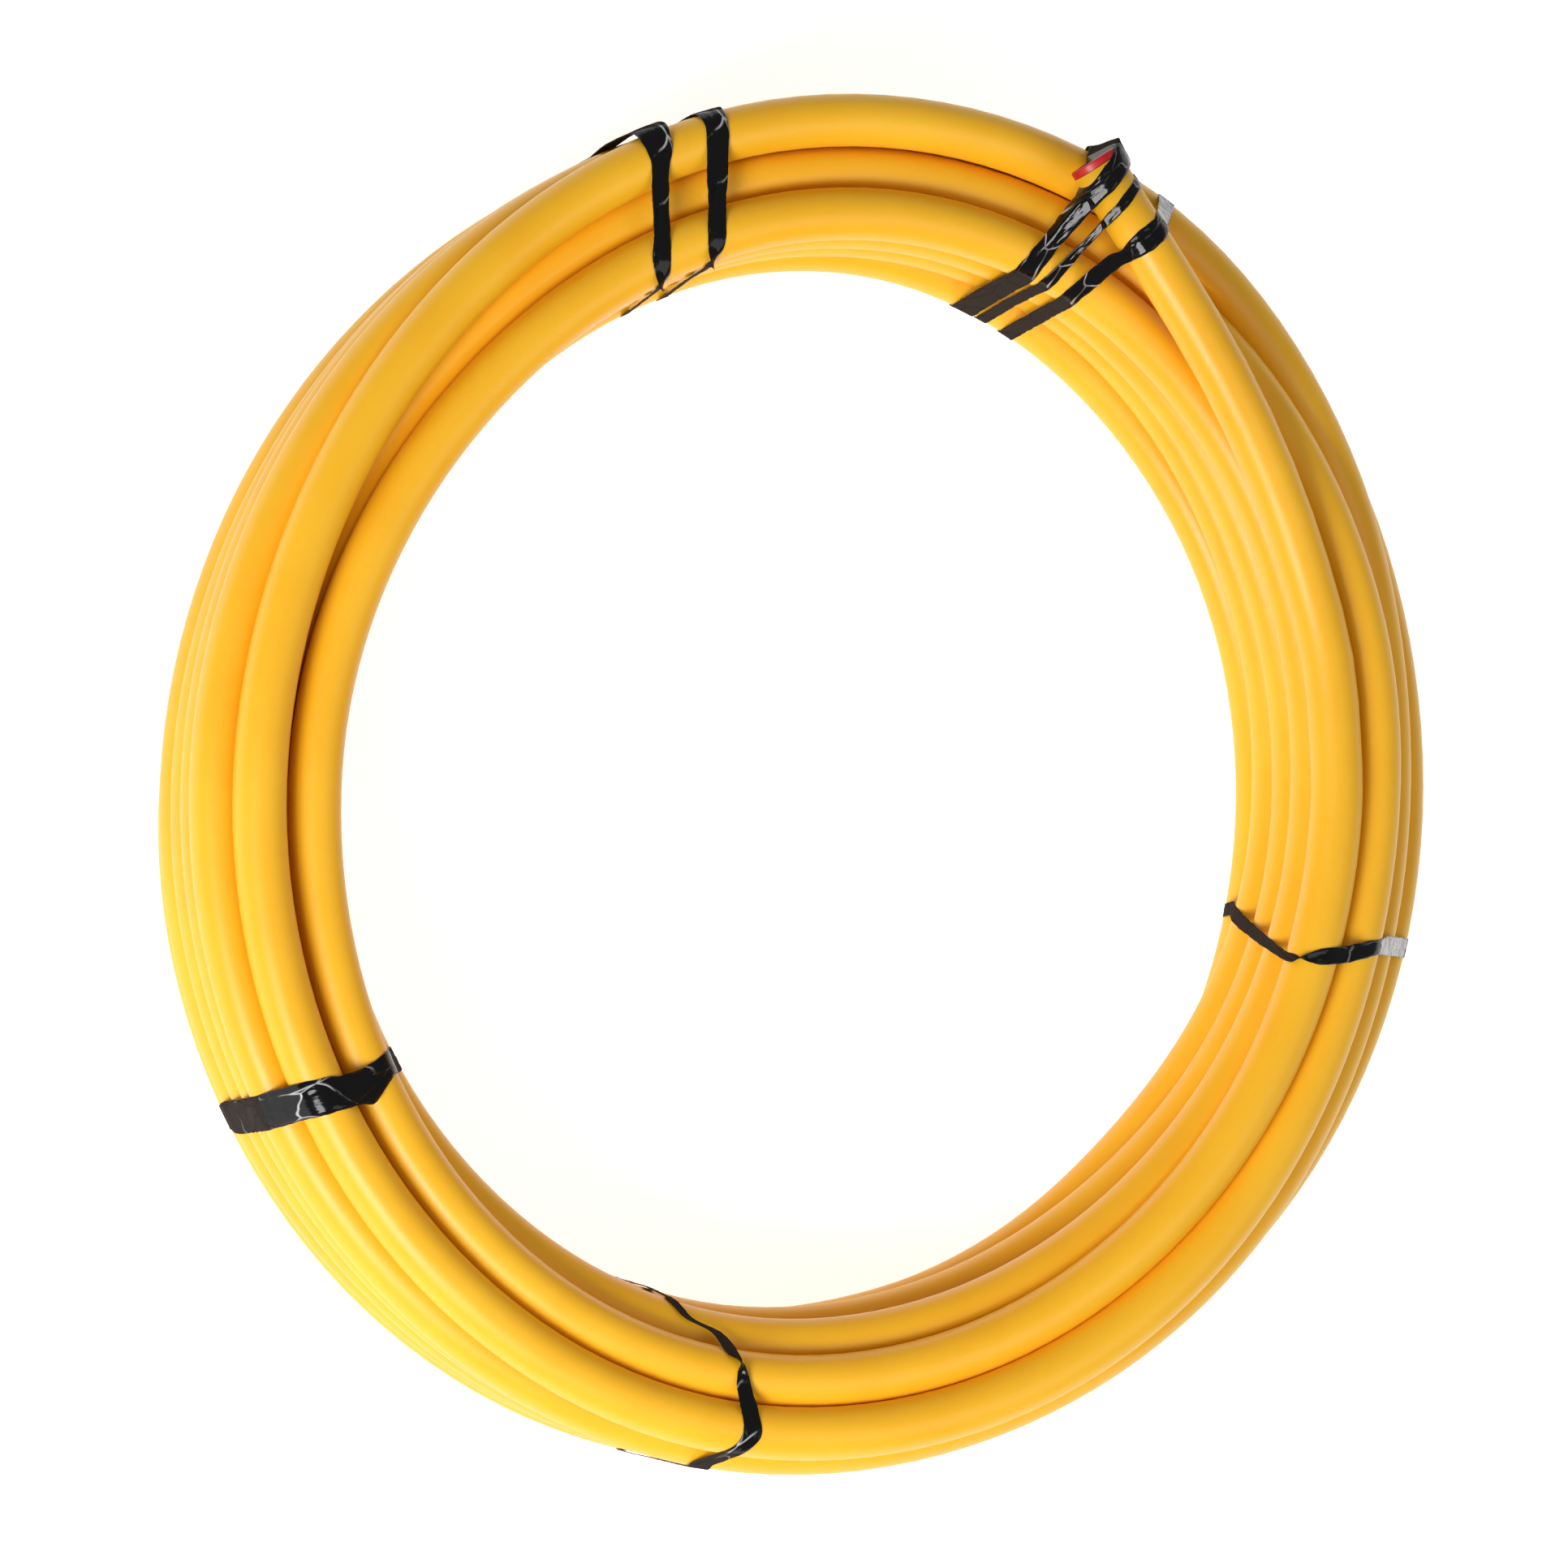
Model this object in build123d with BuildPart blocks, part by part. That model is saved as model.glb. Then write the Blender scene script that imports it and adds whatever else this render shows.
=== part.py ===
"""A coil of 25 mm yellow plastic gas pipe, lying flat and bound with black tape.

Millimetres. +Z is up and is the coil's axis. The origin is on the floor, under the middle of the coil.
The coiled turns are one closed ring solid of their outer shape. The pipe's two ends are hollow tubes with
a push-in plug in each, and every strand of tape is a closed band around the bundle.
"""

import os
from math import cos, pi, radians, sin, tan

from build123d import *

os.makedirs("parts", exist_ok=True)

# Pipe
PIPE_OD = 25.0
PIPE_WALL = 2.3
PIPE_R = PIPE_OD / 2
BORE_R = PIPE_R - PIPE_WALL
FIT_GAP = 0.3  # air between a pipe end and the bundle that it lies in

# Tape
TAPE_GAP = 0.2  # air under the tape
TAPE_OUT = 1.0  # how far the tape's outer face stands off the bundle

# Bundle of turns: a ring of constant section on a slightly oval middle line
BUNDLE_WIDTH = 72.0
BUNDLE_BASE = 0.0
BUNDLE_TOP = TAPE_OUT + 5.5 * PIPE_OD
WAIST_BASE = TAPE_OUT  # each tape pulls the bundle in by its own thickness underneath, so it lies flush
WAIST_MARGIN = 0.4  # how much wider than its tape the pulled-in place is, on each side
OVAL_X = 272.0  # the middle line's half width
OVAL_Y = 286.5  # and half length
OVAL_END_R = 262.0  # radius of its two end arcs
OVAL_SIDE_R = ((OVAL_Y - OVAL_END_R) ** 2 + OVAL_X**2 - OVAL_END_R**2) / (2 * (OVAL_X - OVAL_END_R))
OVAL_END_CENTRE = OVAL_Y - OVAL_END_R
OVAL_SIDE_CENTRE = OVAL_SIDE_R - OVAL_X

# Route of the outer end: it climbs out of the inner side of the bundle, crosses it and ends over the outside
OUTER_ROUTE = [
    (251.5, 20.0, 126.0),
    (249.0, 60.0, 126.0),
    (236.0, 105.0, 127.5),
    (216.0, 150.0, 135.5),
    (189.0, 196.0, 145.5),
    (155.5, 244.0, 151.3),
    (123.0, 291.5, 151.3),
]

# Inner end: an arc in the lowest corner of the bundle's inner wall, straight where the plug is in it
INNER_ANGLE = 200.0  # where the arc starts, seen from the centre of the oval's left side arc
INNER_SWEEP = 10.0
INNER_STRAIGHT = 20.0
INNER_PATH_R = OVAL_SIDE_R - BUNDLE_WIDTH / 2 + PIPE_R + FIT_GAP
INNER_Z = WAIST_BASE + PIPE_R + FIT_GAP

# End plug
FLANGE_R = PIPE_R - 0.2
FLANGE_THICKNESS = 3.5
FLANGE_GAP = 0.2  # air between the flange and the pipe's end face
DISH_R = 8.0  # a shallow round hollow in the flange's outer face
DISH_DEPTH = 0.8
SPIGOT_R = BORE_R - 0.3
SPIGOT_LENGTH = 18.0
RIB_R = BORE_R - 0.05
RIB_WIDTH = 1.2
RIB_OFFSETS = (5.0, 11.0)
CAVITY_R = SPIGOT_R - 1.6
CAVITY_DEPTH = 15.0
PLUG_TRAVEL = 30.0
PLUG_SPARE = 5.5  # room beyond the travel

# Strands of tape: name, centre on the bundle, direction across the bundle in degrees, width
TAPES = [
    ("tape_top_left_first", (-61, 260), 90, 12.0),
    ("tape_top_left_second", (-88, 258), 94, 11.0),
    ("tape_outer_end_tip", (105, 261), 58, 12.0),
    ("tape_outer_end_middle", (119.5, 256), 52, 6.0),
    ("tape_outer_end_back", (131, 243), 46, 11.0),
    ("tape_lower_left", (-246, -151), 202, 16.0),
    ("tape_bottom", (-52, -279), 273, 10.0),
    ("tape_right", (258, -77), 5, 8.0),
]
TAPE_PAST_END = 22.0  # the tape by the outer end's tip keeps the pipe's shape this far past it, clear of the plug
TAPE_REACH = 150.0  # longer than the bundle is wide, and short of the far side of the coil
TAPE_TALL = 200.0  # taller than the whole coil


def oval_face(growth):
    """The area inside the oval middle line, grown by an even margin on all sides."""
    half_width = OVAL_X + growth
    half_length = OVAL_Y + growth
    end_r = OVAL_END_R + growth
    # where an end arc meets a side arc: on the line through both their centres
    towards_joint = Vector(OVAL_SIDE_CENTRE, OVAL_END_CENTRE).normalized()
    joint_x = towards_joint.X * end_r
    joint_y = OVAL_END_CENTRE + towards_joint.Y * end_r
    with BuildSketch() as face:
        with BuildLine():
            ThreePointArc((joint_x, joint_y), (0, half_length), (-joint_x, joint_y))
            ThreePointArc((-joint_x, joint_y), (-half_width, 0), (-joint_x, -joint_y))
            ThreePointArc((-joint_x, -joint_y), (0, -half_length), (joint_x, -joint_y))
            ThreePointArc((joint_x, -joint_y), (half_width, 0), (joint_x, joint_y))
        make_face()
    return face.sketch


def outer_path():
    """The outer end's middle line: straight runs joined by arcs as large as the runs allow."""
    points = [Vector(*point) for point in OUTER_ROUTE]
    radii = []
    for before, corner, after in zip(points, points[1:], points[2:]):
        run_in = corner - before
        run_out = after - corner
        turn = run_in.get_angle(run_out)
        shorter = min(run_in.length, run_out.length)
        radii.append(0.45 * shorter / tan(radians(turn) / 2))
    with BuildLine() as line:
        FilletPolyline(*points, radius=radii)
    return line.wire(), radii


OUTER_PATH, OUTER_RADII = outer_path()
OUTER_TIP = Vector(*OUTER_ROUTE[-1])
OUTER_AXIS = (OUTER_TIP - Vector(*OUTER_ROUTE[-2])).normalized()

INNER_CENTRE = Vector(OVAL_SIDE_CENTRE, 0, INNER_Z)
INNER_OUTWARD = Vector(cos(radians(INNER_ANGLE)), sin(radians(INNER_ANGLE)), 0)
INNER_AXIS = Vector(sin(radians(INNER_ANGLE)), -cos(radians(INNER_ANGLE)), 0)
INNER_ARC_START = INNER_CENTRE + INNER_OUTWARD * INNER_PATH_R
INNER_TIP = INNER_ARC_START + INNER_AXIS * INNER_STRAIGHT


def inner_path():
    """The inner end's middle line, from the plug into the bundle."""
    middle, end = (
        INNER_CENTRE + Vector(cos(radians(angle)), sin(radians(angle)), 0) * INNER_PATH_R
        for angle in (INNER_ANGLE + INNER_SWEEP / 2, INNER_ANGLE + INNER_SWEEP)
    )
    with BuildLine() as line:
        Line(INNER_TIP, INNER_ARC_START)
        ThreePointArc(INNER_ARC_START, middle, end)
    return line.wire()


INNER_PATH = inner_path()


def solid_along(path, start, axis, radius):
    """A solid round bar along a path that starts at a point, in a direction."""
    with BuildPart() as bar:
        with BuildSketch(Plane(origin=start, z_dir=axis)):
            Circle(radius)
        sweep(path=path)
    return bar.part


def outer_bar(radius):
    start = Vector(*OUTER_ROUTE[0])
    return solid_along(OUTER_PATH, start, Vector(*OUTER_ROUTE[1]) - start, radius)


def outer_bar_and_room(radius):
    """The outer end's bar, carried straight on past its tip."""
    with BuildPart() as bar:
        add(outer_bar(radius))
        with BuildSketch(Plane(origin=OUTER_TIP - OUTER_AXIS, z_dir=OUTER_AXIS)):
            Circle(radius)
        extrude(amount=TAPE_PAST_END + 1.0)
    return bar.part


def inner_bar(radius):
    return solid_along(INNER_PATH, INNER_TIP, INNER_AXIS * -1, radius)


def ring_of_turns(growth, base):
    """The bundle's outer shape above a base height, with round edges, grown by an even margin."""
    with BuildPart() as ring:
        with BuildSketch(Plane.XY.offset(base - growth)):
            add(oval_face(BUNDLE_WIDTH / 2 + growth))
            add(oval_face(-BUNDLE_WIDTH / 2 - growth), mode=Mode.SUBTRACT)
        extrude(amount=BUNDLE_TOP - base + 2 * growth)
        levels = ring.edges().group_by(Axis.Z)
        fillet(levels[0] + levels[-1], PIPE_R + growth)
    return ring.part


def bundle(growth):
    """Everything that a tape goes around: the waist of the ring and the outer end that lies on it."""
    with BuildPart() as whole:
        add(ring_of_turns(growth, WAIST_BASE))
        add(outer_bar_and_room(PIPE_R + growth))
    return whole.part


def tape_slab(centre, direction, width):
    """The space between the two upright planes at a tape's edges, across one side of the coil."""
    across = (cos(radians(direction)), sin(radians(direction)), 0)
    with BuildPart() as slab:
        with BuildSketch(Plane(origin=(*centre, -TAPE_TALL / 4), x_dir=across, z_dir=(0, 0, 1))):
            Rectangle(TAPE_REACH, width)
        extrude(amount=TAPE_TALL * 1.25)
    return slab.part


def tape_waists(ring):
    """What the tapes pull in: a thin layer of the ring's underside, one strip under each tape."""
    with BuildPart() as waists:
        for _, centre, direction, width in TAPES:
            add(tape_slab(centre, direction, width + 2 * WAIST_MARGIN))
        add(ring, mode=Mode.INTERSECT)
        add(ring_of_turns(0, WAIST_BASE), mode=Mode.SUBTRACT)
    return waists.part


def make_pipe_coil():
    """The coiled turns. The outer end lies in a groove, and the inner plug has room to pull out."""
    notch_length = FLANGE_THICKNESS + PLUG_TRAVEL + PLUG_SPARE
    notch_reach = PIPE_R + 1.0
    notch_plane = Plane(
        origin=INNER_TIP - Vector(0, 0, INNER_Z + 1.0),
        x_dir=INNER_AXIS,
        z_dir=(0, 0, 1),
    )
    ring = ring_of_turns(0, BUNDLE_BASE)
    waists = tape_waists(ring)
    with BuildPart() as coil:
        add(ring)
        add(waists, mode=Mode.SUBTRACT)
        add(outer_bar(PIPE_R + FIT_GAP), mode=Mode.SUBTRACT)
        add(inner_bar(PIPE_R + FIT_GAP), mode=Mode.SUBTRACT)
        with BuildSketch(notch_plane):
            Rectangle(notch_length, notch_reach * 3, align=(Align.MIN, Align.CENTER))
        extrude(amount=INNER_Z + notch_reach + 1.0, mode=Mode.SUBTRACT)
    coil.part.label = "pipe_coil"
    return coil.part


def hollow(bar, path, start, axis):
    """A length of pipe: the bar with the bore taken out."""
    with BuildPart() as tube:
        add(bar)
        add(solid_along(path, start, axis, BORE_R), mode=Mode.SUBTRACT)
    return tube.part


def make_pipe_outer_end():
    start = Vector(*OUTER_ROUTE[0])
    tube = hollow(outer_bar(PIPE_R), OUTER_PATH, start, Vector(*OUTER_ROUTE[1]) - start)
    tube.label = "pipe_outer_end"
    return tube


def make_pipe_inner_end():
    tube = hollow(inner_bar(PIPE_R), INNER_PATH, INNER_TIP, INNER_AXIS * -1)
    tube.label = "pipe_inner_end"
    return tube


def make_plug(name, tip, axis):
    """A push-in end plug: a hollow ribbed spigot in the bore and a flange with a shallow dish outside."""
    flange_base = FLANGE_GAP
    flange_top = flange_base + FLANGE_THICKNESS
    # the sketch's X is the plug's radius and its Y runs out of the pipe
    side = Plane(origin=tip, x_dir=(0, 0, 1), z_dir=Vector(0, 0, 1).cross(axis))
    with BuildPart() as plug:
        with BuildSketch(side):
            with BuildLine():
                Polyline(
                    (0, flange_top - DISH_DEPTH),
                    (DISH_R, flange_top - DISH_DEPTH),
                    (DISH_R, flange_top),
                    (FLANGE_R, flange_top),
                    (FLANGE_R, flange_base),
                    (SPIGOT_R, flange_base),
                    (SPIGOT_R, -SPIGOT_LENGTH),
                    (CAVITY_R, -SPIGOT_LENGTH),
                    (CAVITY_R, CAVITY_DEPTH - SPIGOT_LENGTH),
                    (0, CAVITY_DEPTH - SPIGOT_LENGTH),
                    close=True,
                )
            make_face()
            for offset in RIB_OFFSETS:
                with Locations(((SPIGOT_R + RIB_R) / 2 - 0.5, -offset)):
                    Rectangle(RIB_R - SPIGOT_R + 1.0, RIB_WIDTH)
        revolve(axis=Axis(tip, axis))
        circles = plug.edges().filter_by(GeomType.CIRCLE)
        fillet(circles.filter_by(lambda edge: is_rim(edge, tip, axis)), 0.8)
    plug.part.label = name
    return plug.part


def is_rim(edge, tip, axis):
    """True for the outward edge of the plug's flange."""
    height = (edge.arc_center - tip).dot(axis) - FLANGE_GAP
    return abs(height - FLANGE_THICKNESS) < 0.01 and abs(edge.radius - FLANGE_R) < 0.01


def make_tape(name, centre, direction, width, outside, inside):
    """One strand of tape: the skin of the bundle between two upright planes."""
    with BuildPart() as band:
        add(tape_slab(centre, direction, width))
        add(outside, mode=Mode.INTERSECT)
        add(inside, mode=Mode.SUBTRACT)
    band.part.label = name
    return band.part


def make_all():
    parts = [
        make_pipe_coil(),
        make_pipe_outer_end(),
        make_pipe_inner_end(),
        make_plug("outer_end_plug", OUTER_TIP, OUTER_AXIS),
        make_plug("inner_end_plug", INNER_TIP, INNER_AXIS),
    ]
    outside = bundle(TAPE_OUT)
    inside = bundle(TAPE_GAP)
    for name, centre, direction, width in TAPES:
        parts.append(make_tape(name, centre, direction, width, outside, inside))
    return parts


for part in make_all():
    export_step(part, f"parts/{part.label}.step")
    if part.label == "pipe_outer_end":
        section = pi * (PIPE_R**2 - BORE_R**2)
        print("outer end radii", [round(radius) for radius in OUTER_RADII])
        print("outer end volume", round(part.volume), "and section x length", round(section * OUTER_PATH.length))

print("oval side radius", round(OVAL_SIDE_R, 2), "side arc centre", round(OVAL_SIDE_CENTRE, 2))
print("outer plug axis", [round(value, 4) for value in OUTER_AXIS], "tip", OUTER_ROUTE[-1])
print("inner plug axis", [round(value, 4) for value in INNER_AXIS], "tip", [round(value, 2) for value in INNER_TIP])
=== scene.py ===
"""Looks for a coil of yellow gas pipe, bound with black tape. Metres, in the same frame as the CAD."""

import math

import bmesh
import bpy
import numpy as np
from mathutils import Matrix, Vector


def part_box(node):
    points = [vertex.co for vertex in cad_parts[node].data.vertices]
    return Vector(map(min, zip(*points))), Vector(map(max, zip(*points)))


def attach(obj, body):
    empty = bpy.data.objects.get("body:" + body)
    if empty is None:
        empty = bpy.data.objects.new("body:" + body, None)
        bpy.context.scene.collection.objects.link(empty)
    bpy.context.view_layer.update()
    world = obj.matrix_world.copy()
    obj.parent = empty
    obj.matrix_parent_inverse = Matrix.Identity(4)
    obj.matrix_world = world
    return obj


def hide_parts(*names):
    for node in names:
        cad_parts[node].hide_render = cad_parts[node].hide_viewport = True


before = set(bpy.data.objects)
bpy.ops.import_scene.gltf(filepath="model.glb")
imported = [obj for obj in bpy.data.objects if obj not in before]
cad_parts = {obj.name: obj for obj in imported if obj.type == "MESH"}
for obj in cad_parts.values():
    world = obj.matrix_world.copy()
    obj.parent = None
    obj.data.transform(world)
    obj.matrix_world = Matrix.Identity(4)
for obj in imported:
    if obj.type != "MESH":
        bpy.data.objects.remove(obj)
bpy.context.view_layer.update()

MM = 0.001
COIL_LOW, COIL_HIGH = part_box("pipe_coil")
COIL_MIDDLE = (COIL_LOW + COIL_HIGH) / 2
INNER_END_LOW, INNER_END_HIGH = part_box("pipe_inner_end")
# The inner end lies flat, so it is as high as the pipe is thick
PIPE_D = INNER_END_HIGH.z - INNER_END_LOW.z
PIPE_R = PIPE_D / 2
WALL = 2.3 * MM

# The turns are laid out around this point, in polar steps. Radii and heights are in pipe diameters.
LAYOUT_CENTRE = Vector((COIL_MIDDLE.x - 0.35 * PIPE_D, COIL_MIDDLE.y - 0.08 * PIPE_D, 0))
COIL_LAYERS = 5.5  # the coil's height without the outer end on top of it
GROUND_Z = COIL_HIGH.z - COIL_LAYERS * PIPE_D

# ---------------------------------------------------------------- camera

CAMERA_TILT_LEFT = 16.0
CAMERA_TILT_DOWN = 4.9
CAMERA_DISTANCE = 3.38
CAMERA_LENS = 162.5
CAMERA_AIM = Vector((-1.5 * MM, 1.6 * MM, 0))  # from the layout's centre, along the picture's sides
CAMERA_AIM_LAYERS = 3  # how high the camera aims, in pipe diameters


def make_camera():
    """A long lens that looks down on the coil, a little from the left and from the bottom."""
    towards = Vector(
        (-math.tan(math.radians(CAMERA_TILT_LEFT)), -math.tan(math.radians(CAMERA_TILT_DOWN)), 1)
    ).normalized()
    right = Vector((towards.z, 0, -towards.x)).normalized()
    up = towards.cross(right)
    target = Vector((LAYOUT_CENTRE.x, LAYOUT_CENTRE.y, GROUND_Z + CAMERA_AIM_LAYERS * PIPE_D))
    place = target + right * CAMERA_AIM.x + up * CAMERA_AIM.y + towards * CAMERA_DISTANCE
    data = bpy.data.cameras.new("camera")
    data.lens = CAMERA_LENS
    data.sensor_width = 36.0
    data.clip_end = 20.0
    camera = bpy.data.objects.new("camera", data)
    bpy.context.scene.collection.objects.link(camera)
    turned = Matrix((right, up, towards)).transposed().to_4x4()
    camera.matrix_world = Matrix.Translation(place) @ turned
    bpy.context.scene.camera = camera


make_camera()

# ---------------------------------------------------------------- the pipe's route

# The pipe runs anticlockwise: up the outer column of turns, down the middle one and up the inner one.
# Each line is one turn: its (radius, height) at the bottom, right, top and left of the coil, seen from above.
TURNS = [
    ((10.36, 0.50), (11.25, 0.50), (11.50, 0.50), (11.15, 0.50)),
    ((12.20, 0.50), (12.97, 0.50), (12.35, 1.00), (11.36, 1.48)),
    ((12.25, 1.50), (12.10, 1.00), (12.35, 2.00), (11.36, 2.47)),
    ((12.30, 2.50), (12.92, 1.50), (12.35, 3.00), (11.36, 3.46)),
    ((12.35, 3.50), (12.10, 2.00), (12.30, 4.00), (11.40, 4.45)),
    ((12.41, 4.50), (12.08, 3.02), (12.39, 5.00), (10.76, 5.25)),
    ((12.11, 5.40), (11.28, 4.45), (11.50, 4.40), (10.48, 4.00)),
    ((11.30, 4.00), (11.25, 3.50), (11.50, 3.35), (10.48, 3.00)),
    ((11.25, 3.00), (11.25, 2.50), (11.50, 2.10), (10.46, 2.08)),
    ((11.25, 2.00), (11.25, 1.50), (10.75, 1.00), (10.40, 1.10)),
    ((11.25, 1.00), (10.38, 1.00), (10.70, 2.00), (9.50, 1.62)),
    ((10.36, 1.60), (10.38, 2.00), (10.70, 3.00), (9.54, 2.63)),
    ((10.36, 2.90), (10.38, 3.00), (10.70, 4.00), (9.54, 3.64)),
    ((10.66, 4.45), (10.38, 4.00), (10.64, 5.00), (9.60, 4.68)),
    ((11.26, 5.20), (10.41, 5.00), (10.41, 5.00), (10.41, 5.00)),
]

# The coil isn't quite round. All turns move outwards by these waves: (how many around the coil, height in
# pipe diameters, direction of a crest in degrees).
OUT_OF_ROUND = [(0, 0.04, 0), (1, 0.13, -4), (2, 0.35, 50), (3, 0.10, -58), (4, 0.045, -15)]

# The inner end, from its tip, and the outer end, to its tip, in millimetres
INNER_ROUTE = [(-239.1, -74.9, 13.8), (-232.3, -93.7, 13.8), (-223.0, -115.5, 13.8), (-212.1, -136.9, 13.8)]
OUTER_ROUTE = [
    (251.5, 20.0, 126.0),
    (249.0, 60.0, 126.0),
    (236.0, 105.0, 127.5),
    (216.0, 150.0, 135.5),
    (189.0, 196.0, 145.5),
    (155.5, 244.0, 151.3),
    (123.0, 291.5, 151.3),
]
INNER_ROOM = (-248.0, -50.0, 13.8)  # as far as the inner plug needs to pull out

STEP_DEG = 5
STEPS_PER_TURN = 360 // STEP_DEG
FIRST_DEG = 190  # in the inner plug's room
BOTTOM_DEG = 270  # where the first turn starts
LAST_DEG = BOTTOM_DEG + 360 * (len(TURNS) - 1) + 90  # where the outer end's own route takes over
CLOSEST = 1.002  # two turns lie at least this far apart
LOWEST = 0.5  # a turn that lies on the floor
CROSSING_COS = 0.86  # the outer end crosses the turns at a slant
SETTLE_ROUNDS = 500
PUSH_SHARE = 0.8  # how much of an overlap is pushed apart in each round
SMOOTH_SHARE = 0.2  # how much of a kink is smoothed away in each round
RETURN_SHARE = 0.01  # how much of the way back to its planned place a turn goes in each round


def polar(point_mm):
    """(angle in degrees, radius, height) of a point about the layout's centre."""
    offset = Vector(point_mm) * MM - LAYOUT_CENTRE
    angle = math.degrees(math.atan2(offset.y, offset.x)) % 360
    return angle, math.hypot(offset.x, offset.y) / PIPE_D, (offset.z - GROUND_Z) / PIPE_D


def place(angle, radius, height):
    """The point of an angle, radius and height about the layout's centre."""
    turn = math.radians(angle)
    flat = Vector((math.cos(turn), math.sin(turn), 0)) * radius * PIPE_D
    return LAYOUT_CENTRE + flat + Vector((0, 0, GROUND_Z + height * PIPE_D))


def out_of_round(angles):
    """How far outwards the coil's shape moves every turn at each angle."""
    return sum(size * np.cos(waves * np.radians(angles - crest)) for waves, size, crest in OUT_OF_ROUND)


def planned_spots(angles):
    """Where TURNS puts the pipe at each angle, easing from one of its stations to the next."""
    stations = np.array([spot for turn in TURNS for spot in turn])
    steps = np.clip((angles - BOTTOM_DEG) / 90, 0, len(stations) - 1.001)
    before = np.floor(steps).astype(int)
    ease = ((1 - np.cos((steps - before) * np.pi)) / 2)[:, None]
    spots = stations[before] * (1 - ease) + stations[before + 1] * ease
    spots[:, 0] += out_of_round(angles)
    return spots


def settled_route():
    """The turns' angles and spots, pushed clear of each other, and which of them the ends' routes hold."""
    inner = np.array([polar(point) for point in [INNER_ROOM, *INNER_ROUTE]])
    outer = np.array([polar(point) for point in OUTER_ROUTE])
    outer[:, 0] += LAST_DEG
    end_deg = LAST_DEG + STEP_DEG * round((outer[-1, 0] - LAST_DEG) / STEP_DEG)
    angles = np.arange(FIRST_DEG, end_deg + 1, STEP_DEG, dtype=float)
    spots = planned_spots(angles)
    held_in = angles <= inner[-1, 0]
    held_out = angles > LAST_DEG
    joining = (angles > inner[-1, 0]) & (angles < BOTTOM_DEG)
    first_turn = planned_spots(np.array([float(BOTTOM_DEG)]))[0]
    for axis in (0, 1):
        spots[held_in, axis] = np.interp(angles[held_in], inner[:, 0], inner[:, 1 + axis])
        spots[held_out, axis] = np.interp(angles[held_out], outer[:, 0], outer[:, 1 + axis])
        ends = (inner[-1, 0], BOTTOM_DEG)
        values = (inner[-1, 1 + axis], first_turn[axis])
        spots[joining, axis] = np.interp(angles[joining], ends, values)
    wanted = spots.copy()
    free = ~(held_in | held_out)
    for _ in range(SETTLE_ROUNDS):
        push = np.zeros_like(spots)
        for lag in range(STEPS_PER_TURN, len(spots), STEPS_PER_TURN):
            gap = spots[lag:] - spots[:-lag]
            slanted = gap.copy()
            slanted[held_out[lag:], 0] *= CROSSING_COS
            size = np.linalg.norm(slanted, axis=1)[:, None]
            apart = np.clip(CLOSEST - size, 0, None) * gap / np.maximum(size, 1e-6)
            push[lag:] += apart / 2
            push[:-lag] -= apart / 2
        spots[free] += PUSH_SHARE * push[free]
        bend = np.zeros_like(spots)
        drift = spots - wanted
        bend[1:-1] = drift[:-2] - 2 * drift[1:-1] + drift[2:]
        spots[free] += SMOOTH_SHARE * bend[free] - RETURN_SHARE * drift[free]
        spots[:, 1] = np.maximum(spots[:, 1], LOWEST)
    return angles, spots, held_in, held_out


def pipe_route():
    """The route's control points, from the inner tip to the outer tip."""
    angles, spots, held_in, held_out = settled_route()
    turns = [
        place(angle, *spot)
        for angle, spot, skip in zip(angles, spots, held_in | held_out)
        if not skip
    ]
    return [Vector(p) * MM for p in INNER_ROUTE] + turns + [Vector(p) * MM for p in OUTER_ROUTE]


def smooth_path(name, points, resolution):
    """The points of a smooth curve that starts and ends at the ends of the route."""
    data = bpy.data.curves.new(name, "CURVE")
    data.dimensions = "3D"
    data.resolution_u = resolution
    spline = data.splines.new("NURBS")
    spline.points.add(len(points) - 1)
    for control, point in zip(spline.points, points):
        control.co = (*point, 1.0)
    spline.order_u = 3
    spline.use_endpoint_u = True
    route = bpy.data.objects.new(name, data)
    bpy.context.scene.collection.objects.link(route)
    depsgraph = bpy.context.evaluated_depsgraph_get()
    mesh = bpy.data.meshes.new_from_object(route.evaluated_get(depsgraph))
    path = np.array([vertex.co for vertex in mesh.vertices])
    bpy.data.meshes.remove(mesh)
    bpy.data.objects.remove(route)
    return path


ROUTE = pipe_route()
PATH = smooth_path("pipe_route", ROUTE, 2)
PATH_STEPS = np.linalg.norm(np.diff(PATH, axis=0), axis=1)

# ---------------------------------------------------------------- materials


def new_material(name):
    """A material with its nodes, links and shader."""
    material = bpy.data.materials.new(name)
    material.use_nodes = True
    nodes = material.node_tree.nodes
    shader = nodes["Principled BSDF"]
    return material, nodes, material.node_tree.links, shader


def add_node(nodes, kind, **values):
    """A node with its properties and input sockets set by name."""
    node = nodes.new(kind)
    for key, value in values.items():
        if hasattr(node, key):
            setattr(node, key, value)
        else:
            node.inputs[key].default_value = value
    return node


def noise(nodes, links, vector, **values):
    """A noise texture at a vector."""
    made = add_node(nodes, "ShaderNodeTexNoise", **values)
    links.new(vector, made.inputs["Vector"])
    return made


def stretched(nodes, links, vector, scale):
    """A vector stretched by its own scale along each axis."""
    made = add_node(nodes, "ShaderNodeMapping")
    made.inputs["Scale"].default_value = scale
    links.new(vector, made.inputs["Vector"])
    return made.outputs["Vector"]


def ramp(nodes, links, source, ends, dark, bright):
    """A colour that goes from dark to bright as the source goes from one end to the other."""
    made = nodes.new("ShaderNodeValToRGB")
    for element, position, colour in zip(made.color_ramp.elements, ends, (dark, bright)):
        element.position = position
        element.color = colour
    links.new(source, made.inputs["Fac"])
    return made.outputs["Color"]


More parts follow.
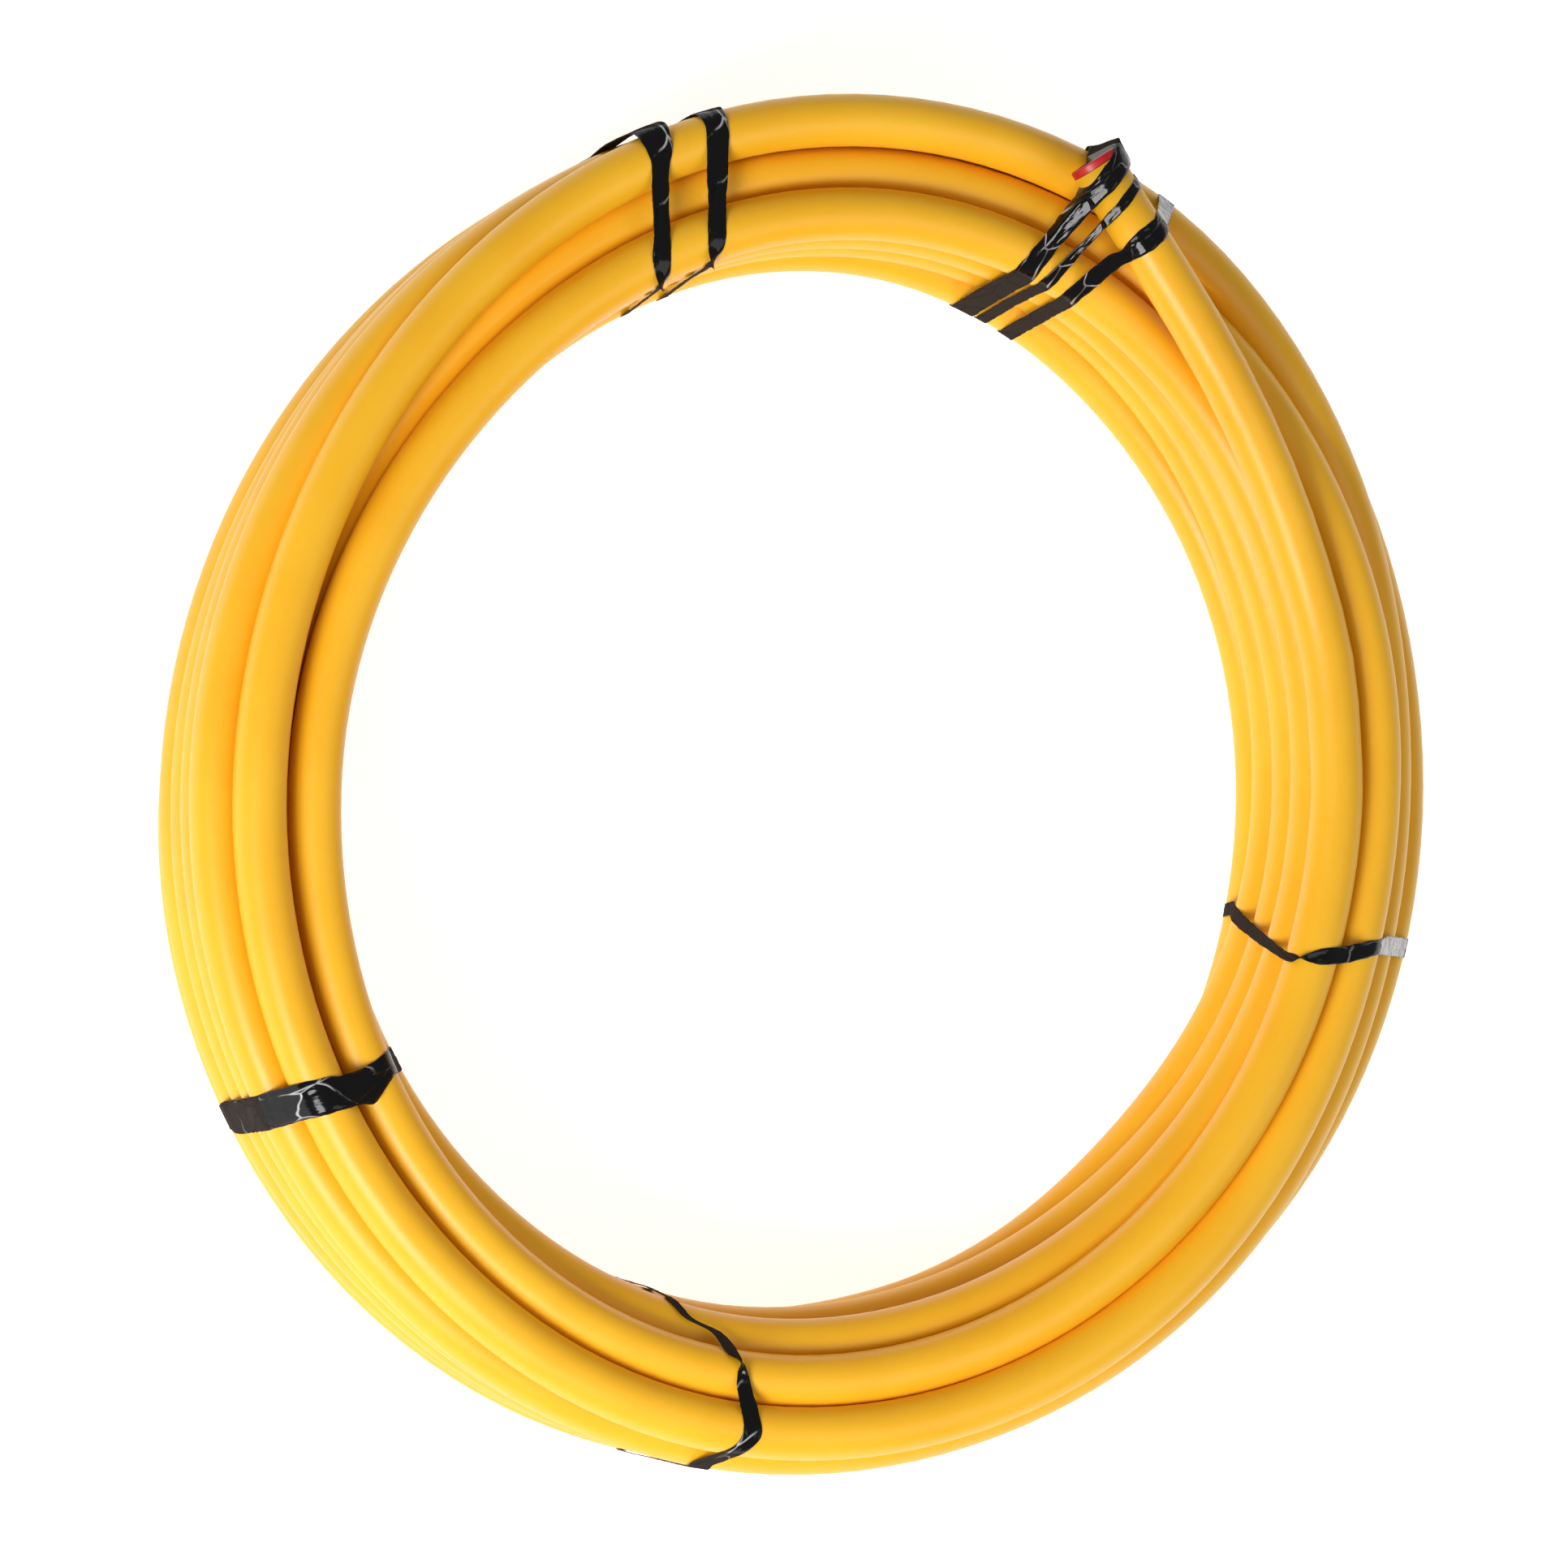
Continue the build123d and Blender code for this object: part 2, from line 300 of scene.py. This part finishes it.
def calculated(nodes, links, operation, *terms):
    """The result of a math node whose terms are sockets or plain numbers."""
    made = add_node(nodes, "ShaderNodeMath", operation=operation)
    for term, socket in zip(terms, made.inputs):
        if isinstance(term, float):
            socket.default_value = term
        else:
            links.new(term, socket)
    return made.outputs["Value"]


def mixed_colour(nodes, links, share, base, other):
    """A colour that goes from base to other as share goes from 0 to 1. Base is a colour or a socket."""
    made = add_node(nodes, "ShaderNodeMix", data_type="RGBA")
    links.new(share, made.inputs["Factor"])
    if isinstance(base, tuple):
        made.inputs[6].default_value = base
    else:
        links.new(base, made.inputs[6])
    made.inputs[7].default_value = other
    return made.outputs[2]


def add_bump(nodes, links, shader, height, strength, distance):
    """Bumps on the shader's surface where the height rises."""
    bump = add_node(nodes, "ShaderNodeBump", Strength=strength, Distance=distance)
    links.new(height, bump.inputs["Height"])
    links.new(bump.outputs["Normal"], shader.inputs["Normal"])


def grey(value):
    """A grey with the same amount of red, green and blue."""
    return (value, value, value, 1)


def pipe_material():
    """Satin yellow polyethylene: faint cloudy colour, extrusion lines along the pipe, scuffs and dust."""
    dark, bright, scuff_colour = (0.93, 0.455, 0.012, 1), (0.98, 0.51, 0.018, 1), (0.93, 0.62, 0.16, 1)
    material, nodes, links, shader = new_material("yellow_pipe")
    place_node = nodes.new("ShaderNodeTexCoord")
    on_pipe, in_space = place_node.outputs["UV"], place_node.outputs["Object"]
    clouds = noise(nodes, links, in_space, Scale=14.0, Detail=4.0).outputs["Fac"]
    colour = ramp(nodes, links, clouds, (0.3, 0.7), dark, bright)
    # thin pale scratches, in patches
    across_pipe = stretched(nodes, links, on_pipe, (9.0, 420.0, 1.0))
    scratches = noise(nodes, links, across_pipe, Scale=1.0, Detail=6.0, Roughness=0.75).outputs["Fac"]
    patches = noise(nodes, links, in_space, Scale=9.0, Detail=2.0).outputs["Fac"]
    where = ramp(nodes, links, patches, (0.60, 0.74), grey(0), grey(1))
    thin = ramp(nodes, links, scratches, (0.66, 0.72), grey(0), grey(1))
    scuffed = calculated(nodes, links, "MULTIPLY", where, thin)
    links.new(mixed_colour(nodes, links, scuffed, colour, scuff_colour), shader.inputs["Base Color"])
    gloss = ramp(nodes, links, clouds, (0.3, 0.7), grey(0.36), grey(0.46))
    rough = calculated(nodes, links, "MULTIPLY_ADD", scuffed, 0.2, gloss)
    links.new(rough, shader.inputs["Roughness"])
    # fine lines from the extrusion, along the pipe
    along_pipe = stretched(nodes, links, on_pipe, (60.0, 3.0, 1.0))
    drawn = noise(nodes, links, along_pipe, Scale=1.0, Detail=3.0).outputs["Fac"]
    add_bump(nodes, links, shader, drawn, strength=0.05, distance=0.0006)
    shader.inputs["Subsurface Weight"].default_value = 0.25
    shader.inputs["Subsurface Radius"].default_value = (1.0, 0.45, 0.05)
    shader.inputs["Subsurface Scale"].default_value = 0.004
    shader.inputs["Specular IOR Level"].default_value = 0.45
    return material


def plug_material():
    """Dark red moulded polyethylene with a fine matt grain."""
    dark, bright = (0.42, 0.005, 0.008, 1), (0.62, 0.012, 0.014, 1)
    material, nodes, links, shader = new_material("red_plug")
    in_space = nodes.new("ShaderNodeTexCoord").outputs["Object"]
    clouds = noise(nodes, links, in_space, Scale=160.0, Detail=5.0).outputs["Fac"]
    links.new(ramp(nodes, links, clouds, (0.3, 0.75), dark, bright), shader.inputs["Base Color"])
    links.new(ramp(nodes, links, clouds, (0.3, 0.7), grey(0.32), grey(0.5)), shader.inputs["Roughness"])
    add_bump(nodes, links, shader, clouds, strength=0.15, distance=0.0003)
    return material


def tape_material(name, base, painted_fold_glint, roughness, painted_glint_above, refraction):
    """Creased plastic film: wrinkles catch the light, and sharp folds carry a painted pale glint in patches.
    """
    material, nodes, links, shader = new_material(name)
    on_film = nodes.new("ShaderNodeTexCoord").outputs["UV"]
    along_film = stretched(nodes, links, on_film, (0.35, 1.0, 1.0))
    # folds: the borders of bent cells
    bent = noise(nodes, links, along_film, Scale=60.0, Detail=2.0).outputs["Color"]
    warp = add_node(nodes, "ShaderNodeVectorMath", operation="MULTIPLY_ADD")
    links.new(bent, warp.inputs[0])
    warp.inputs[1].default_value = (0.012, 0.012, 0.0)
    links.new(along_film, warp.inputs[2])
    cells = add_node(nodes, "ShaderNodeTexVoronoi", feature="DISTANCE_TO_EDGE", Scale=95.0)
    links.new(warp.outputs["Vector"], cells.inputs["Vector"])
    folds = ramp(nodes, links, cells.outputs["Distance"], (0.0, 0.035), grey(1), grey(0))
    # painted highlight: in patches, the folds take a pale colour that stands in for the glints the creased
    # film catches
    patches = noise(nodes, links, on_film, Scale=38.0, Detail=2.0).outputs["Fac"]
    where = ramp(nodes, links, patches, (painted_glint_above, painted_glint_above + 0.1), grey(0), grey(1))
    pale = calculated(nodes, links, "MULTIPLY", folds, where)
    links.new(mixed_colour(nodes, links, pale, base, painted_fold_glint), shader.inputs["Base Color"])
    # wrinkles: between the folds
    wrinkles = noise(nodes, links, along_film, Scale=130.0, Detail=3.0, Roughness=0.45).outputs["Fac"]
    smooth, rough = roughness
    gloss = ramp(nodes, links, wrinkles, (0.3, 0.7), grey(smooth), grey(rough))
    links.new(gloss, shader.inputs["Roughness"])
    height = calculated(nodes, links, "MULTIPLY_ADD", folds, 0.35, wrinkles)
    add_bump(nodes, links, shader, height, strength=0.8, distance=0.0018)
    shader.inputs["IOR"].default_value = refraction
    return material


PIPE_MATERIAL = pipe_material()
PLUG_MATERIAL = plug_material()
TAPE_FRONT = tape_material(
    "black_tape",
    base=(0.003, 0.003, 0.0035, 1),
    # the pale glint painted on the front's folds, in patches
    painted_fold_glint=(0.6, 0.6, 0.61, 1),
    roughness=(0.06, 0.18),
    painted_glint_above=0.46,
    refraction=1.33,
)
TAPE_BACK = tape_material(
    "black_tape_back",
    base=(0.034, 0.027, 0.024, 1),
    # a dimmer glint painted on the back's folds, in patches
    painted_fold_glint=(0.2, 0.18, 0.17, 1),
    roughness=(0.5, 0.7),
    painted_glint_above=0.55,
    refraction=1.03,
)

# ---------------------------------------------------------------- the pipe

AROUND = 28


def pipe_rings(build, radius):
    """Rings of points around PATH, one at each of its points."""
    tangents = np.gradient(PATH, axis=0)
    tangents /= np.linalg.norm(tangents, axis=1)[:, None]
    sides = np.cross(tangents, np.array((0.0, 0.0, 1.0)))
    sides /= np.linalg.norm(sides, axis=1)[:, None]
    tops = np.cross(sides, tangents)
    turns = [2 * math.pi * k / AROUND for k in range(AROUND)]
    return [
        [build.verts.new(middle + radius * (math.cos(turn) * side + math.sin(turn) * top)) for turn in turns]
        for middle, side, top in zip(PATH, sides, tops)
    ]


def add_wall(build, rings, faces_out):
    """One wall of the pipe, with its place along and around the pipe in a UV map."""
    layer = build.loops.layers.uv["pipe"]
    along = np.concatenate(([0.0], np.cumsum(PATH_STEPS)))
    for i in range(len(rings) - 1):
        for k in range(AROUND):
            after = (k + 1) % AROUND
            corners = [rings[i][k], rings[i][after], rings[i + 1][after], rings[i + 1][k]]
            places = [(k, i), (k + 1, i), (k + 1, i + 1), (k, i + 1)]
            if faces_out:
                corners.reverse()
                places.reverse()
            face = build.faces.new(corners)
            face.smooth = True
            for loop, (u, v) in zip(face.loops, places):
                loop[layer].uv = (u / AROUND, along[v])


def add_rim(build, outer, inner, faces_back):
    """The square cut rim between the two walls at one end of the pipe."""
    for k in range(AROUND):
        after = (k + 1) % AROUND
        corners = [outer[k], outer[after], inner[after], inner[k]]
        if not faces_back:
            corners.reverse()
        build.faces.new(corners)


def make_pipe():
    """A hollow pipe along PATH: an outer and an inner wall that meet in a square rim at both ends."""
    build = bmesh.new()
    build.loops.layers.uv.new("pipe")
    outer = pipe_rings(build, PIPE_R)
    inner = pipe_rings(build, PIPE_R - WALL)
    add_wall(build, outer, faces_out=True)
    add_wall(build, inner, faces_out=False)
    add_rim(build, outer[0], inner[0], faces_back=True)
    add_rim(build, outer[-1], inner[-1], faces_back=False)
    bmesh.ops.recalc_face_normals(build, faces=build.faces)
    mesh = bpy.data.meshes.new("yellow_pipe")
    build.to_mesh(mesh)
    build.free()
    mesh.materials.append(PIPE_MATERIAL)
    made = bpy.data.objects.new("yellow_pipe", mesh)
    bpy.context.scene.collection.objects.link(made)
    return made


pipe = make_pipe()
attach(pipe, "coil")
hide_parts("pipe_coil", "pipe_outer_end", "pipe_inner_end")

# ---------------------------------------------------------------- plugs

for plug in ("outer_end_plug", "inner_end_plug"):
    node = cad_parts[plug]
    node.data.materials.clear()
    node.data.materials.append(PLUG_MATERIAL)

# ---------------------------------------------------------------- tape

TAPE_THICKNESS = 0.3 * MM
TAPE_CLEARANCE = 0.25 * MM
TAPE_STEP = 1.5 * MM  # along a strand
TAPE_ACROSS = 8  # faces across a strand
TAPE_OFFSETS = np.linspace(-36, 36, 13) * MM  # planes beside a strand's own, where the bundle is measured too
OUTLINE_STEP = 0.4 * MM
SECTION_CORNERS = 40
BUNDLE_REACH = 100 * MM  # a tape goes around the part of the coil that is this near to its middle
SEAM = 0.75  # a strand's two ends meet this far around the bundle, low on the outer wall
RAGGED = 0.22  # how uneven a strand's edges are, in mm
CRUMPLED = 0.16  # how far its film stands off in wrinkles, in mm
DULL_BELOW = 0.45  # where the bundle's surface is this steep, the film's front is dull and takes the browner material of its back

# name: (middle of the strand on the bundle in mm, its direction from the inside out in degrees, profile)
# Each profile line is (place, width, shift, twist, lift). A place of 0 is the outer top corner of the bundle
# and 1 the inner one, and it goes on past both. Width, sideways shift and lift off the bundle are in mm.
# The twist is in degrees about the strand's own line.
TAPES = {
    "tape_top_left_first": (
        (-61, 260),
        90,
        [
            (-0.6, 12, 5, 0, 0),
            (-0.08, 13, 3, 0, 1.4),
            (0.10, 11, 0, 0, 0.2),
            (0.45, 10.5, 0, 0, 0),
            (0.60, 8.5, 0, 0, 0),
            (0.85, 9, 0, 0, 0),
            (0.98, 8, 0, 0, 0),
            (1.12, 4, 1, 170, 0.4),
            (1.60, 4.5, 3, 180, 0),
        ],
    ),
    "tape_top_left_second": (
        (-88, 258),
        94,
        [
            (-0.6, 13, 14, 0, 0),
            (-0.25, 15, 10, 0, 3.0),
            (-0.06, 16, 2, 0, 4.0),
            (0.10, 13, -1, 0, 0.4),
            (0.22, 8.5, -1, 0, 0),
            (0.45, 8, 0, 0, 0),
            (0.70, 8, 0, 0, 0),
            (0.88, 9, 1, 0, 0),
            (1.00, 8, 0, 0, 0),
            (1.12, 4, 0, 170, 0.4),
            (1.60, 4, -3, 180, 0),
        ],
    ),
    "tape_outer_end_tip": (
        (105, 261),
        58,
        [
            (-0.6, 12, -2, 0, 0),
            (-0.12, 16, -2.5, 0, 4.5),
            (0.04, 16, -3.5, 0, 0.8),
            (0.20, 14, -3.5, 0, 0),
            (0.40, 10, -3, 0, 0),
            (0.75, 8.5, -1.5, 0, 0),
            (0.97, 10, -1, 0, 0),
            (1.20, 12, 0, 0, 0.3),
            (1.60, 12, 1, 0, 0.3),
        ],
    ),
    "tape_outer_end_middle": (
        (119.5, 256),
        52,
        [
            (-0.6, 6, 0, 0, 0),
            (0.0, 5, 0, 0, 0.3),
            (0.20, 5, 0, 0, 0),
            (0.40, 4, 0, 0, 0),
            (0.60, 3.2, 0, 0, 0.2),
            (0.80, 4.5, 0, 0, 0),
            (0.97, 6, 0, 0, 0.3),
            (1.20, 6, 1, 0, 0),
            (1.60, 6, 2, 0, 0),
        ],
    ),
    "tape_outer_end_back": (
        (131, 243),
        46,
        [
            (-0.6, 9, 0, 0, 0),
            (-0.05, 9, 0, 0, 0.6),
            (0.10, 9.5, -1.5, 0, 0.2),
            (0.30, 11, -1.5, 0, 0),
            (0.70, 11.5, -0.5, 0, 0),
            (0.95, 9.5, 0, 0, 0),
            (1.20, 7, 0, 0, 0.3),
            (1.50, 8, 2, 0, 0),
        ],
    ),
    "tape_lower_left": (
        (-246, -151),
        202,
        [
            (-0.6, 17, 0, 0, 0),
            (-0.06, 17, 1, 0, 0.3),
            (0.12, 17, 2, 0, 0.2),
            (0.40, 15.5, 4, 0, 0.3),
            (0.50, 15.5, 4.5, 0, 0.2),
            (0.67, 17.5, 6, 0, 0),
            (0.85, 13, 3, 0, 0),
            (1.00, 11, 0, 0, 0.2),
            (1.30, 12, 0, 0, 0),
        ],
    ),
    "tape_bottom": (
        (-52, -279),
        273,
        [
            (-0.5, 10, -14, 0, 0.3),
            (-0.08, 10, -5, 0, 0),
            (0.12, 9.5, 3.5, 0, 0),
            (0.30, 8.5, 4.2, 0, 0),
            (0.66, 7, 2, 0, 0),
            (0.80, 4.5, 2, 20, 0.2),
            (0.92, 5, 1, 160, 0.2),
            (1.00, 6, -0.5, 180, 0),
            (1.17, 6.5, -2.3, 180, 0),
            (1.34, 4.5, -5, 180, 0.2),
            (1.50, 4, -18, 180, 0.4),
            (1.80, 5, -23, 180, 0.4),
        ],
    ),
    "tape_right": (
        (258, -77),
        5,
        [
            (-0.4, 9, 0, 0, 0),
            (0.0, 7, -1, 0, 0),
            (0.12, 7.5, -1.5, 0, 0),
            (0.50, 8.5, -3.7, 0, 0),
            (0.82, 7.5, -4, 0, 0),
            (0.92, 4, -4, 20, 0.2),
            (1.04, 4, -3.5, 160, 0.2),
            (1.20, 4.5, -2, 180, 0),
            (1.50, 5.5, 4, 180, 0),
            (2.00, 6.5, 12, 180, 0),
            (3.00, 6.6, 26, 180, 0),
        ],
    ),
}


def hull(points):
    """The convex outline of flat points, anticlockwise."""
    ordered = sorted(set(map(tuple, np.round(points, 7))))
    outline = []
    for run in (ordered, ordered[::-1]):
        side = []
        for point in run:
            while len(side) > 1 and np.cross(
                np.subtract(side[-1], side[-2]), np.subtract(point, side[-1])
            ) <= 0:
                side.pop()
            side.append(point)
        outline += side[:-1]
    return np.array(outline)


def sections(centre, across):
    """Outline points of the pipe where a tape's upright plane cuts it, as (distance across, height)."""
    through = np.array((-across.y, across.x))
    side = (PATH[:, :2] - np.array(centre)) @ through
    grown = PIPE_R + TAPE_CLEARANCE
    found = []
    for i in np.nonzero(side[:-1] * side[1:] <= 0)[0]:
        run = PATH[i + 1] - PATH[i]
        point = PATH[i] + side[i] / (side[i] - side[i + 1]) * run
        reach = float((point[:2] - np.array(centre)) @ np.array((across.x, across.y)))
        if abs(reach) > BUNDLE_REACH:
            continue
        slant = abs(float(run[:2] @ through)) / np.linalg.norm(run)
        for k in range(SECTION_CORNERS):
            turn = 2 * math.pi * k / SECTION_CORNERS
            found.append((reach + grown * math.cos(turn) / slant, point[2] + grown * math.sin(turn)))
    return np.array(found)


def outline_points(centre, across, spacing):
    """Evenly spaced points along the bundle's convex outline in a tape's plane, and the way along it."""
    outline = hull(sections(centre, across))
    closed = np.vstack((outline, outline[:1]))
    lengths = np.concatenate(([0.0], np.cumsum(np.linalg.norm(np.diff(closed, axis=0), axis=1))))
    at = np.linspace(0, lengths[-1], int(lengths[-1] / spacing), endpoint=False)
    return at, lengths[-1], np.column_stack([np.interp(at, lengths, closed[:, k]) for k in (0, 1)])


def outline_radius(centre, across, middle, bearings):
    """How far the bundle's outline is from a point in its middle, in each direction."""
    _, _, line = outline_points(centre, across, OUTLINE_STEP)
    arms = line - middle
    around = np.arctan2(arms[:, 1], arms[:, 0])
    order = np.argsort(around)
    return np.interp(bearings, around[order], np.linalg.norm(arms, axis=1)[order], period=2 * math.pi)


def smooth_profile(places, profile):
    """The profile's values at each place along the strand, with its corners smoothed."""
    stops = [line[0] for line in profile]
    order = np.argsort(places)
    values = np.column_stack([
        np.interp(places[order], stops, [line[column] for line in profile]) for column in (1, 2, 3, 4)
    ])
    for _ in range(3):
        values[1:-1] = (values[:-2] + 2 * values[1:-1] + values[2:]) / 4
    found = np.empty_like(values)
    found[order] = values
    return found


def softened(values, own_weight):
    """Values around a closed loop, each averaged with its two neighbours."""
    neighbours = np.roll(values, 1, axis=0) + own_weight * values + np.roll(values, -1, axis=0)
    return neighbours / (own_weight + 2)


def strand_values(at, total, line, profile):
    """Width, shift, twist and lift at each step of a strand. They ease back to their start at its seam."""
    outer_corner = at[np.argmax(line[:, 0] + line[:, 1])]
    inner_corner = at[np.argmax(line[:, 1] - line[:, 0])]
    top_length = (inner_corner - outer_corner) % total
    places = ((at - outer_corner + total / 4) % total - total / 4) / top_length
    values = smooth_profile(places, profile)
    closing = np.clip(places - (total / top_length * SEAM - 1.0), 0, 1)[:, None]
    closing = closing * closing * (3 - 2 * closing)
    first = np.array(profile[0][1:], float)
    first[2] = values[np.argmax(places), 2]
    return values * (1 - closing) + first * closing


def strand_rows(build, centre, across, line, outward, values, randoms):
    """The rows of points across a strand, on its front and its back, at each of its steps."""
    through = Vector((-across.y, across.x, 0))
    middle = line.mean(axis=0)
    bearings = np.arctan2(line[:, 1] - middle[1], line[:, 0] - middle[0])
    surface = np.array([
        outline_radius((centre + through * offset)[:2], across, middle, bearings) for offset in TAPE_OFFSETS
    ])
    ragged = softened(randoms.normal(0, RAGGED, (len(line), 2)), 1)
    crumple = softened(softened(randoms.normal(0, CRUMPLED, (len(line), TAPE_ACROSS + 1)), 2), 2)
    fronts, backs = [], []
    for i, (width, shift, twist, lift) in enumerate(values):
        spin = math.radians(twist)
        out3 = across * outward[i, 0] + Vector((0, 0, outward[i, 1]))
        normal = out3 * math.cos(spin) - through * math.sin(spin)
        half = width / 2 * MM
        stand = lift * MM + abs(math.sin(spin)) * half
        arm = across * math.cos(bearings[i]) + Vector((0, 0, math.sin(bearings[i])))
        front, back = [], []
        for k in range(TAPE_ACROSS + 1):
            reach = 2 * k / TAPE_ACROSS - 1
            edge = ragged[i, 0 if reach < 0 else 1] * abs(reach) ** 3 * MM
            wave = abs(crumple[i, k]) * MM
            along = reach * half + edge
            offset = shift * MM + along * math.cos(spin)
            radius = np.interp(offset, TAPE_OFFSETS, surface[:, i])
            spot = centre + across * middle[0] + Vector((0, 0, middle[1])) + arm * radius + through * offset
            spot = spot + out3 * (stand + along * math.sin(spin) + wave)
            front.append(build.verts.new(spot + normal * TAPE_THICKNESS / 2))
            back.append(build.verts.new(spot - normal * TAPE_THICKNESS / 2))
        fronts.append(front)
        backs.append(back)
    return fronts, backs


def add_film(build, fronts, backs, dull, widths):
    """The strand's faces, with its length and width in a UV map. Its back and its dull parts use slot 1."""
    layer = build.loops.layers.uv["tape"]
    count = len(fronts)
    for i in range(count):
        after = (i + 1) % count
        for rows, slot in ((fronts, 1 if dull[i] else 0), (backs, 1)):
            for k in range(TAPE_ACROSS):
                face = build.faces.new([rows[i][k], rows[i][k + 1], rows[after][k + 1], rows[after][k]])
                face.smooth = True
                face.material_index = slot
                for loop, (u, v) in zip(face.loops, ((k, i), (k + 1, i), (k + 1, i + 1), (k, i + 1))):
                    loop[layer].uv = (v * TAPE_STEP, u / TAPE_ACROSS * widths[i] * MM)
        for k in (0, TAPE_ACROSS):
            build.faces.new([fronts[i][k], backs[i][k], backs[after][k], fronts[after][k]])


def make_tape(name, centre_mm, direction, profile, seed):
    """A closed strand of film that follows the outline of the bundle and bridges the gaps in it."""
    randoms = np.random.default_rng(seed)
    turn = math.radians(direction)
    across = Vector((math.cos(turn), math.sin(turn), 0))
    centre = Vector((centre_mm[0] * MM, centre_mm[1] * MM, 0))
    at, total, line = outline_points(centre[:2], across, TAPE_STEP)
    line = softened(softened(line, 2), 2)
    forward = np.roll(line, -1, axis=0) - np.roll(line, 1, axis=0)
    forward /= np.linalg.norm(forward, axis=1)[:, None]
    outward = np.column_stack((forward[:, 1], -forward[:, 0]))
    values = strand_values(at, total, line, profile)
    build = bmesh.new()
    build.loops.layers.uv.new("tape")
    fronts, backs = strand_rows(build, centre, across, line, outward, values, randoms)
    add_film(build, fronts, backs, dull=np.abs(outward[:, 1]) < DULL_BELOW, widths=values[:, 0])
    bmesh.ops.recalc_face_normals(build, faces=build.faces)
    mesh = bpy.data.meshes.new(name)
    build.to_mesh(mesh)
    build.free()
    mesh.materials.append(TAPE_FRONT)
    mesh.materials.append(TAPE_BACK)
    tape = bpy.data.objects.new(name + "_film", mesh)
    bpy.context.scene.collection.objects.link(tape)
    return tape


for seed, (name, (centre_mm, direction, profile)) in enumerate(TAPES.items()):
    tape = make_tape(name, centre_mm, direction, profile, seed)
    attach(tape, "coil")
    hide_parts(name)

# ---------------------------------------------------------------- floor and light


FLOOR_HALF = 12.0
FLOOR_DROP = 0.5 * MM  # keeps the floor clear of the pipe's underside
LIGHT_AIM = Vector((0, 0, 0.05))


def make_floor():
    """A plain pale floor that glows a little, so that it stays pale in the coil's shade."""
    mesh = bpy.data.meshes.new("floor")
    half = FLOOR_HALF
    corners = [(-half, -half, 0), (half, -half, 0), (half, half, 0), (-half, half, 0)]
    mesh.from_pydata(corners, [], [(0, 1, 2, 3)])
    floor = bpy.data.objects.new("floor", mesh)
    floor.location.z = -FLOOR_DROP
    bpy.context.scene.collection.objects.link(floor)
    material, _, _, shader = new_material("floor")
    shader.inputs["Base Color"].default_value = (0.6, 0.6, 0.6, 1)
    shader.inputs["Roughness"].default_value = 0.8
    shader.inputs["Emission Color"].default_value = (1, 1, 1, 1)
    shader.inputs["Emission Strength"].default_value = 0.8
    mesh.materials.append(material)


def add_light(name, place, size, power):
    """A soft square light that faces the coil."""
    data = bpy.data.lights.new(name, "AREA")
    data.shape = "SQUARE"
    data.size = size
    data.energy = power
    light = bpy.data.objects.new(name, data)
    light.location = place
    aim = LIGHT_AIM - Vector(place)
    light.rotation_euler = aim.to_track_quat("-Z", "Y").to_euler()
    bpy.context.scene.collection.objects.link(light)


def make_light():
    """A white studio with a key light from the lower left and a weak fill from the right."""
    world = bpy.data.worlds.new("studio")
    bpy.context.scene.world = world
    world.use_nodes = True
    background = world.node_tree.nodes["Background"]
    background.inputs["Color"].default_value = (1, 1, 1, 1)
    background.inputs["Strength"].default_value = 0.28
    add_light("key", (-1.6, -1.3, 2.0), 1.2, 72)
    add_light("fill", (1.3, -1.0, 2.2), 1.6, 13)


make_floor()
make_light()
bpy.context.scene.view_settings.view_transform = "Standard"
